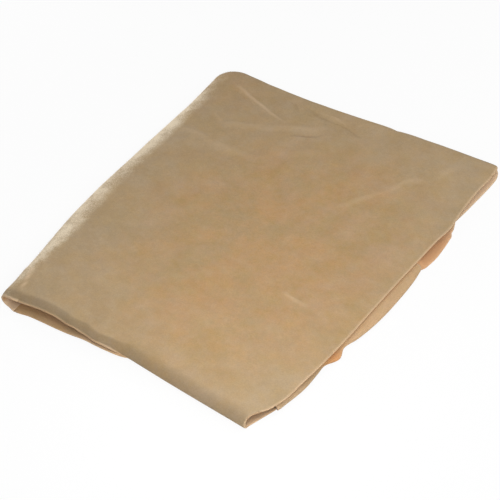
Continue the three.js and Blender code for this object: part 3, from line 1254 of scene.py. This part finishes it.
@dataclass
class UnderLayer(SkinPiece):
    """The layer below the top face: the mouth's lower lip, and the loose edge behind the right fold."""

    name: str = "under_layer_leather"
    nodes: tuple[str, ...] = ("under_panel",)
    slot: Slot = Slot.INSIDE
    flat: Span = (0.19, 0.215)
    rests_on: str = "bottom_layer_leather"
    layer: Layer = Layer.UNDER
    columns: int = 96
    rows: int = 112
    loose_columns: int = 8
    edge_paleness: float = 0.1
    # The tongue below the mouth, the gap to the back flap, the loose edge behind the right fold, the
    # rise to that fold, and the step down beside the bottom layer
    tongue_step: float = 5
    tongue_reach: float = 0.5
    edge_gap: float = 1.35
    loose_start: float = 1.3
    loose_settle: float = 9
    loop_rise: float = 40
    bottom_left: float = 60
    step_down: float = 18
    # Colour: a cooler lip rim and painted light in the shadowed mouth behind it, which end on the right, and
    # the warm right side, whose orange is partly painted bounce light
    rim_depth: Span = (2, 7)
    rim_coolness: float = 0.35
    mouth_depth: Span = (5, 40)
    mouth_end: Span = (90, 120)
    pale_start: Span = (25, 60)
    pale: float = 0.3
    mouth_pale: Span = (0.2, 0.4)
    warm_side: Span = (150, 185)
    loose_cool: float = 0.8
    loose_cool_start: Span = (192, 197)
    loose_pale: Span = (0.3, 0.5)
    loose_pale_start: Span = (178, 190)

    def front_edge(self, x: Array) -> Array:
        """Front edge: a lip below the mouth, then clear of the front flap.

        Args:
            x: Places across.

        Returns:
            Place along, in millimetres.
        """
        tongue_end = self.plan.lip_end * self.plan.front_width + self.tongue_reach
        step = smoothstep(x, tongue_end - self.tongue_step, tongue_end)
        return lerp(along(self.plan.under_lip, x), self.plan.behind_front_flap(x), step)

    def right_edge(self, y: Array) -> Array:
        """The right fold line, and its back end's place behind it."""
        return self.plan.right_x(np.minimum(y, self.plan.right_back))

    def height(self, x: Array, y: Array) -> Array:
        """Height of the layer's middle.

        Args:
            x: Places across.
            y: Places along.

        Returns:
            Height in millimetres: on the table, on the bottom layer, or raised to the right fold.
        """
        plan = self.plan
        fold_end = plan.right_back
        lifted = smoothstep(x, self.bottom_left - self.step_down, self.bottom_left)
        lifted = lifted * (1 - smoothstep(y, fold_end, fold_end + self.step_down))
        lying = lerp(plan.floor_z, plan.stack_z, lifted)
        settled = smoothstep(y, fold_end, fold_end + self.loose_settle)
        raised = lerp(lying, plan.loop_z, along(plan.loop_share, y) * (1 - settled))
        line = self.right_edge(y)
        return lerp(lying, raised, smoothstep(x, line - self.loop_rise, line))

    def shape(self) -> Leather:
        """The sheet with its loose edge.

        Returns:
            Its leather.
        """
        plan = self.plan
        s, t = np.meshgrid(np.linspace(0, 1, self.columns), np.linspace(0, 1, self.rows))
        x = s * (plan.back_width - plan.left_slant)
        for _ in range(FIX_ROUNDS):
            back = plan.back_y(x) - plan.back_flap_depth - plan.flap_reach - self.edge_gap
            y = lerp(self.front_edge(x), back, t)
            x = lerp(plan.left_x(y) + plan.tail, self.right_edge(y), s)
        z = self.height(x, y)
        inside = smoothstep(y - self.front_edge(x), *self.rim_depth)
        near_mouth, pale = 1 - smoothstep(x, *self.mouth_end), smoothstep(x, *self.pale_start)
        mouth = inside * (1 - smoothstep(y, *self.mouth_depth))
        cool = self.rim_coolness * (1 - inside) * near_mouth
        leather = Leather(self.name, plan.thickness, self.edge_paleness)
        leather.grid(
            np.stack((x, y, z), -1),
            (Side.FIRST_COLUMN,),
            # Warm right side, partly painted bounce light; painted light in the shadowed mouth
            warm=lerp(plan.flesh - cool, 1.0, smoothstep(x, *self.warm_side)),
            cut=(self.pale * pale + lerp(*self.mouth_pale, pale) * mouth) * near_mouth,
        )
        loose = y[:, -1] > plan.right_back + self.loose_start
        out = np.linspace(0, 1, self.loose_columns)[None, :]
        loose_y = y[loose, -1:] + 0 * out
        loose_x = lerp(x[loose, -1:], along(plan.loose_edge, loose_y), out)
        loose_z = lerp(z[loose, -1:], plan.floor_z, smoothstep(out, 0, 1))
        leather.grid(
            np.stack((loose_x, loose_y, loose_z), -1),
            # Warm loose edge, partly painted bounce light; painted light on its shadowed part
            warm=1 - self.loose_cool * smoothstep(loose_y, *self.loose_cool_start),
            cut=lerp(*self.loose_pale, smoothstep(loose_y, *self.loose_pale_start)),
        )
        return leather


@dataclass
class RightFold(SkinPiece):
    """The rolled lower fold that shows under the top face's raw right edge."""

    name: str = "right_fold_leather"
    nodes: tuple[str, ...] = ("right_fold",)
    slot: Slot = Slot.INSIDE
    flat: Span = (0.026, 0.148)
    rests_on: str = "under_layer_leather"
    layer: Layer = Layer.UNDER
    below: Layer | None = Layer.BOTTOM
    bend: Span = (4.0, 1.2)
    rows: int = 84
    steps: tuple[int, int, int] = (0, 28, 3)
    # The front end leans forward on the roll's outer side
    front_lean: float = 2.4
    lean_rise: Span = (0.2, 0.9)
    lean_fall: Span = (1.95, 2.4)
    # Colour on the side that shows: a warm pocket whose orange is partly painted bounce light, painted shade
    # on a stretch before it, and painted light at its ends
    shown_turn: Span = (0.1, 0.7)
    flesh_turn: Span = (2.2, 3)
    pocket_y: float = 53
    pocket_width: float = 8
    pocket_warmth: Span = (0.1, 0.85)
    shade: float = 0.3
    shade_rise: Span = (10, 24)
    shade_fall: Span = (42, 54)
    front_pale: float = 0.15
    back_pale: float = 0.2
    back_pale_start: Span = (45, 62)
    faded_end: Span = (36, 50)

    def shape(self) -> Leather:
        """The rolled strip.

        Returns:
            Its leather.
        """
        plan = self.plan
        _, turn, after = (part[None, :] for part in cross_section(*self.steps))
        front = plan.right_front - self.front_lean * window(turn, self.lean_rise, self.lean_fall)
        y = lerp(front, plan.right_back, np.linspace(0, 1, self.rows)[:, None])
        line = plan.right_x(y)
        start = UnderLayer(plan).height(line, y)
        x = line + along(plan.right_bulge, y) * np.sin(turn) - plan.tail * after
        least, most = self.pocket_warmth
        pocket = least + most * bell(y - self.pocket_y, self.pocket_width)
        shown = smoothstep(turn, *self.shown_turn)
        pale = self.back_pale * smoothstep(y, *self.back_pale_start)
        pale = pale + self.front_pale * (1 - smoothstep(y, *self.shade_rise))
        leather = Leather(self.name, plan.thickness)
        leather.grid(
            np.stack((x, y, plan.roll_z(start, turn)), -1),
            (Side.FIRST_COLUMN, Side.LAST_COLUMN),
            # Warm pocket, partly painted bounce light; painted light at the ends and painted shade on the
            # stretch before the pocket
            warm=lerp(lerp(1, pocket, shown), plan.flesh, smoothstep(turn, *self.flesh_turn)),
            warm_back=plan.flesh,
            cut=pale * shown,
            flattened=self.shade * window(y, self.shade_rise, self.shade_fall),
            faded=1 - smoothstep(y, *self.faded_end),
        )
        return leather


@dataclass
class BottomLayer(SkinPiece):
    """The end of the skin, flat on the table."""

    name: str = "bottom_layer_leather"
    nodes: tuple[str, ...] = ("bottom_panel",)
    slot: Slot = Slot.INSIDE
    flat: Span = (0.118, 0.14)
    held: Held = Held.LAID
    rests_on: str = "floor"
    layer: Layer = Layer.BOTTOM
    columns: int = 40
    rows: int = 60
    width: float = 120
    margin: float = 3
    wave: float = 7

    def shape(self) -> Leather:
        """The sheet with its wavy free edge.

        Returns:
            Its leather.
        """
        plan = self.plan
        s, t = np.meshgrid(np.linspace(0, 1, self.columns), np.linspace(0, 1, self.rows))
        left = plan.right_x(plan.right_back) - self.width
        front = plan.behind_front_flap(lerp(left, plan.front_width, s)) + self.margin
        y = lerp(front, plan.right_back - self.margin, t)
        x = lerp(left + self.wave * np.sin(2 * np.pi * t), plan.right_x(y) - plan.tail, s)
        points = np.stack((x, y, np.full_like(x, plan.floor_z)), -1)
        leather = Leather(self.name, plan.thickness)
        leather.grid(points, (Side.LAST_COLUMN,), warm=plan.flesh)
        return leather


@dataclass
class BackFold(SkinPiece):
    """The rolled back edge and the strip that is turned under, with its half of the rounded corner."""

    name: str = "back_fold_leather"
    nodes: tuple[str, ...] = ("back_fold", "back_flap")
    flat: Span = (0.075, 0.2)
    below: Layer | None = Layer.BACK
    bend: Span = (8.6, 1.2)
    columns: int = 150
    corner_columns: int = 14
    steps: tuple[int, int, int] = (4, 28, 20)
    # The raw rim is paler than most, partly painted light where it lies in shade
    edge_paleness: float = 0.5
    edge_thinning: float = 0.1
    # The right end runs from the top face's raw edge to the flap's, and is rounded in between
    end_turn: Span = (0.6, 2.6)
    end_rounding: float = 4
    end_filling: float = 0.6
    end_filling_turn: Span = (1.2, 2.4)
    # Colour: painted shade round the roll, and painted light on the shadowed inside that shows at the right
    # end
    shade_turn: Span = (0.35, 0.9)
    inside_pale: float = 0.95
    inside_start: Span = (150, 185)
    inside_turn: Span = (0.2, 1.2)

    def shape(self) -> Leather:
        """The rolled strip and its flap.

        Returns:
            Its leather.
        """
        plan = self.plan
        before, turn, after = (part[:, None] for part in cross_section(*self.steps))
        s = np.linspace(0, 1, self.columns)[None, :]
        x = lerp(plan.corner[0], plan.back_width - plan.left_slant, s) + 0 * turn
        depth = plan.back_flap_depth + plan.flap_reach
        filled = self.end_filling * smoothstep(turn, *self.end_filling_turn)
        inset = self.end_rounding * np.sin(turn) ** 2 * (1 - filled)
        for _ in range(FIX_ROUNDS):
            y = plan.back_y(x) - plan.fold_margin * before - depth * after
            end = lerp(along(plan.raw_edge, y), along(plan.flap_edge, y), smoothstep(turn, *self.end_turn))
            x = lerp(plan.corner[0], end - inset, s)
        start = np.where(turn == 0, plan.top_z(x, y), plan.top_z(x, plan.back_y(x)))
        y = y + along(plan.back_bulge, x) * np.sin(turn)
        warm = plan.flesh * smoothstep(turn, *plan.flesh_turn)
        shade = smoothstep(turn, *self.shade_turn)
        shown = smoothstep(x, *self.inside_start) * smoothstep(turn, *self.inside_turn)
        leather = Leather(self.name, plan.thickness, self.edge_paleness, self.edge_thinning)
        leather.grid(
            np.stack((x, y, plan.roll_z(start, turn)), -1),
            (Side.FIRST_ROW, Side.FIRST_COLUMN),
            warm=warm,
            # Painted light on the shadowed inside at the right end; painted shade round the roll and near the
            # corner
            warm_back=lerp(plan.flesh, 0, shown),
            cut_back=self.inside_pale * shown,
            flattened=np.maximum(shade, plan.corner_shade * plan.near_corner(x, y)),
            flattened_back=0.0,
            faded=plan.faded(x, y),
            hold=1.0,
        )
        flat, roll, _ = self.steps
        rolled = slice(0, flat + roll + 1)
        alpha = np.linspace(CORNER_MIDDLE, np.pi / 2, self.corner_columns)[None, :]
        left_share = smoothstep(alpha, np.pi / 2, CORNER_MIDDLE)
        rim = plan.corner_shade + plan.corner_rim_shade * smoothstep(turn[rolled], *plan.corner_rim_shade_turn)
        leather.grid(
            plan.corner_cap(alpha, before[rolled], turn[rolled], after[rolled]),
            (Side.FIRST_ROW, Side.FIRST_COLUMN, Side.LAST_COLUMN),
            warm=warm[rolled],
            warm_back=plan.flesh,
            # Painted shade on the corner and its rim
            flattened=lerp(np.maximum(shade, plan.corner_shade)[rolled], rim, left_share),
            faded=1 - plan.corner_colour,
            hold=1 - left_share,
        )
        return leather


@dataclass
class FrontFold(SkinPiece):
    """The front edge: an open raw lip on the left that turns step by step into a roll with a flap."""

    name: str = "front_fold_leather"
    nodes: tuple[str, ...] = ("front_fold", "front_flap")
    flat: Span = (0.04, 0.176)
    area: float | None = 0.0054
    below: Layer | None = Layer.FRONT
    bend: Span = (7.0, 1.2)
    columns: int = 150
    lip_rows: int = 29
    face_rows: int = 4
    flap_rows: int = 10
    edge_paleness: float = 0.12
    edge_thinning: float = 0.1
    # The flap starts where the lip is turned this far, and is wider at its inner edge
    flap_extra: float = 2.3
    flap_skew: float = 6.5
    flap_degrees: float = 179.5
    # Painted shade: along the open lip's edge, fainter at its very rim, and where the roll turns over
    droop_end: Span = (3.6, 7.8)
    droop_rim: float = 0.5
    droop_rim_start: Span = (0.92, 1)
    shade_before: float = 6.5
    shade_after: float = 3.8
    # Painted light: a highlight on the lip's edge where it begins to roll, and light on the shadowed inside
    # that shows at the right end
    lip_pale: float = 0.55
    lip_pale_edge: Span = (0.86, 0.97)
    lip_pale_rise: Span = (62, 78)
    lip_pale_fall: Span = (93, 97)
    inside_pale: float = 0.6
    inside_warmth: float = 0.2
    inside_start: Span = (140, 168)
    inside_turn: Span = (0.2, 1.2)

    def shape(self) -> Leather:
        """The lip, the roll and the flap.

        Returns:
            Its leather.
        """
        plan, margin = self.plan, self.plan.fold_margin
        s = np.linspace(0, 1, self.columns)[None, :]
        lip = np.linspace(1, 0, self.lip_rows)[:, None]
        flat = np.linspace(0, 1, self.face_rows + 1)[1:, None]
        left = plan.left_x(plan.front_y(0)) + margin
        x = lerp(left, along(plan.raw_edge, plan.front_y(np.array(plan.front_width))), s) + 0 * lip
        y, z = plan.lip(x, lip)
        flat_x = lerp(left, plan.front_width, s) + 0 * flat
        for _ in range(FIX_ROUNDS):
            flat_y = plan.front_y(flat_x) + margin * flat
            flat_x = lerp(plan.left_x(flat_y) + margin, along(plan.raw_edge, flat_y), s)
        face = np.stack((flat_x, flat_y, plan.top_z(flat_x, flat_y)), -1)
        none = 0 * flat_x

        degrees, length = along(plan.lip_degrees, x), along(plan.lip_length, x)
        turn = np.radians(degrees) * lip
        droop = 1 - smoothstep(length * (1 - lip), *self.droop_end)
        droop = droop * (1 - self.droop_rim * smoothstep(lip, *self.droop_rim_start))
        past = np.concatenate((length * lip, none - margin * flat))
        over = smoothstep(past, -self.shade_before, self.shade_after)
        closed = smoothstep(degrees, *plan.lip_closes)[:1]
        shown = smoothstep(x, *self.inside_start) * smoothstep(turn, *self.inside_turn)
        shown = np.concatenate((shown, none))
        pale = smoothstep(lip, *self.lip_pale_edge) * window(x, self.lip_pale_rise, self.lip_pale_fall)
        leather = Leather(self.name, plan.thickness, self.edge_paleness, self.edge_thinning)
        leather.grid(
            np.concatenate((np.stack((x, y, z), -1), face)),
            (Side.LAST_ROW, Side.FIRST_COLUMN),
            warm=np.concatenate((plan.flesh * smoothstep(turn, *plan.flesh_turn), none)),
            # Painted light on the inside at the right end, a painted highlight on the lip's edge, and painted
            # shade along the lip and the roll
            warm_back=lerp(plan.flesh, self.inside_warmth, shown),
            cut=np.concatenate((self.lip_pale * pale, none)),
            cut_back=self.inside_pale * shown,
            flattened=plan.droop_shade * lerp(np.concatenate((droop, none)), over, closed),
            flattened_back=0.0,
            faded=plan.faded(np.concatenate((x, flat_x)), np.concatenate((y, flat_y))),
        )
        joined = np.flatnonzero(along(plan.lip_degrees, x[0]) > self.flap_degrees)
        edge_x, edge_y = x[0, joined], y[0, joined]
        flap = np.linspace(1, 0, self.flap_rows)[:, None]
        flap_y = edge_y + (plan.front_flap_depth + self.flap_extra) * flap
        flap_x = lerp(edge_x[0], edge_x[-1] + self.flap_skew * flap, (edge_x - edge_x[0]) / np.ptp(edge_x))
        shown = smoothstep(flap_x, *self.inside_start)
        leather.grid(
            np.stack((flap_x, flap_y, np.full_like(flap_x, z[0, joined[0]])), -1),
            warm=plan.flesh,
            # Painted light on the flap's inside at the right end
            warm_back=lerp(plan.flesh, self.inside_warmth, shown),
            cut_back=self.inside_pale * shown,
            faded=1.0,
        )
        return leather


@dataclass(frozen=True)
class Lamp:
    """A soft square lamp that faces the leather, in metres and watts."""

    name: str
    place: tuple[float, float, float]
    size: float
    power: float

    def hang(self) -> None:
        """Hangs the lamp."""
        data = bpy.data.lights.new(self.name, "AREA")
        data.shape, data.size, data.energy = "SQUARE", self.size, self.power
        lamp = bpy.data.objects.new(self.name, data)
        lamp.location = self.place
        lamp.rotation_euler = (-Vector(self.place)).to_track_quat("-Z", "Y").to_euler()
        bpy.context.scene.collection.objects.link(lamp)


@dataclass
class Studio:
    """White floor, soft lamps and the camera at the photograph's angle, in metres and degrees."""

    azimuth: float = 32.9
    elevation: float = 41.5
    distance: float = 1.3125
    aim: tuple[float, float, float] = (0.004961, -0.008415, 0)
    lens_mm: float = 150
    sensor_mm: float = 36
    clip: Span = (0.05, 20)
    floor_reach: float = 4
    floor_colour: str = "#F4F4F4"
    floor_whiteness: float = 0.92
    room_light: float = 0.262
    lamps: tuple[Lamp, ...] = (
        Lamp("near lamp", (0.08, -0.2, 0.2), 0.15, 0.2),
        Lamp("right lamp", (0.16, -0.1, 0.25), 0.15, 0.095),
        Lamp("back lamp", (0.5, 0.38, 0.4), 0.25, 1.5),
        Lamp("low lamp", (0.45, -0.5, 0.12), 0.3, 0.5),
        Lamp("left lamp", (-0.7, 0.12, 0.14), 0.3, 2.2),
        Lamp("high lamp", (0.344, 0.199, 0.636), 0.3, 0.565),
        Lamp("front lamp", (0.428, -0.662, 0.616), 0.3, 2.35),
    )

    def camera(self) -> None:
        """Sets up the camera."""
        data = bpy.data.cameras.new("camera")
        data.lens, data.sensor_width = self.lens_mm, self.sensor_mm
        data.clip_start, data.clip_end = self.clip
        camera = bpy.data.objects.new("camera", data)
        turn, tilt = math.radians(self.azimuth), math.radians(self.elevation)
        back = Vector((math.sin(turn) * math.cos(tilt), -math.cos(turn) * math.cos(tilt), math.sin(tilt)))
        camera.location = Vector(self.aim) + back * self.distance
        camera.rotation_euler = (-back).to_track_quat("-Z", "Y").to_euler()
        bpy.context.scene.collection.objects.link(camera)
        bpy.context.scene.camera = camera

    def floor(self) -> None:
        """Lays a white floor that keeps the leather's shadow."""
        mesh, reach = bpy.data.meshes.new("floor"), self.floor_reach
        corners = [(-reach, -reach, 0), (reach, -reach, 0), (reach, reach, 0), (-reach, reach, 0)]
        mesh.from_pydata(corners, [], [(0, 1, 2, 3)])
        floor = bpy.data.objects.new("floor", mesh)
        bpy.context.scene.collection.objects.link(floor)
        material = bpy.data.materials.new("white paper")
        material.use_nodes = True
        tree = material.node_tree
        tree.nodes.clear()
        paper = add_node(tree, "ShaderNodeBsdfDiffuse", links={"Color": linear(self.floor_colour)})
        glow = add_node(tree, "ShaderNodeEmission", links={"Color": WHITE, "Strength": 1.0})
        path = add_node(tree, "ShaderNodeLightPath").outputs
        seen = path["Is Camera Ray"]
        for ray in ("Is Glossy Ray", "Is Transmission Ray"):
            links = {0: seen, 1: path[ray]}
            seen = add_node(tree, "ShaderNodeMath", {"operation": "MAXIMUM"}, links).outputs[0]
        links = {0: seen, 1: self.floor_whiteness}
        seen = add_node(tree, "ShaderNodeMath", {"operation": "MULTIPLY"}, links)
        links = {0: seen.outputs[0], 1: paper.outputs[0], 2: glow.outputs[0]}
        mix = add_node(tree, "ShaderNodeMixShader", links=links)
        add_node(tree, "ShaderNodeOutputMaterial", links={"Surface": mix.outputs[0]})
        mesh.materials.append(material)

    def light(self) -> None:
        """Lights the room and hangs the lamps."""
        world = bpy.data.worlds.new("white room")
        world.use_nodes = True
        background = world.node_tree.nodes["Background"].inputs
        background["Color"].default_value = WHITE
        background["Strength"].default_value = self.room_light
        bpy.context.scene.world = world
        for lamp in self.lamps:
            lamp.hang()

    def build(self) -> None:
        """Sets up all of the studio."""
        bpy.context.scene.view_settings.view_transform = "Standard"
        self.camera()
        self.floor()
        self.light()


@dataclass
class FoldedSkin:
    """The whole leather, piece by piece."""

    plan: SkinPlan
    finish: ChamoisFinish
    pieces: tuple[type[SkinPiece], ...] = (
        TopFace, LeftFold, UnderLayer, RightFold, BottomLayer, BackFold, FrontFold,
    )

    def build(self) -> None:
        """Builds every piece, all in one finish."""
        chamois = self.finish.material()
        for piece in self.pieces:
            piece(self.plan).build(chamois)


def main() -> None:
    """Builds the leather and its studio."""
    logging.basicConfig(level=logging.INFO, format="%(message)s")
    Studio().build()
    FoldedSkin(SkinPlan(), ChamoisFinish()).build()


if __name__ == "__main__":
    main()
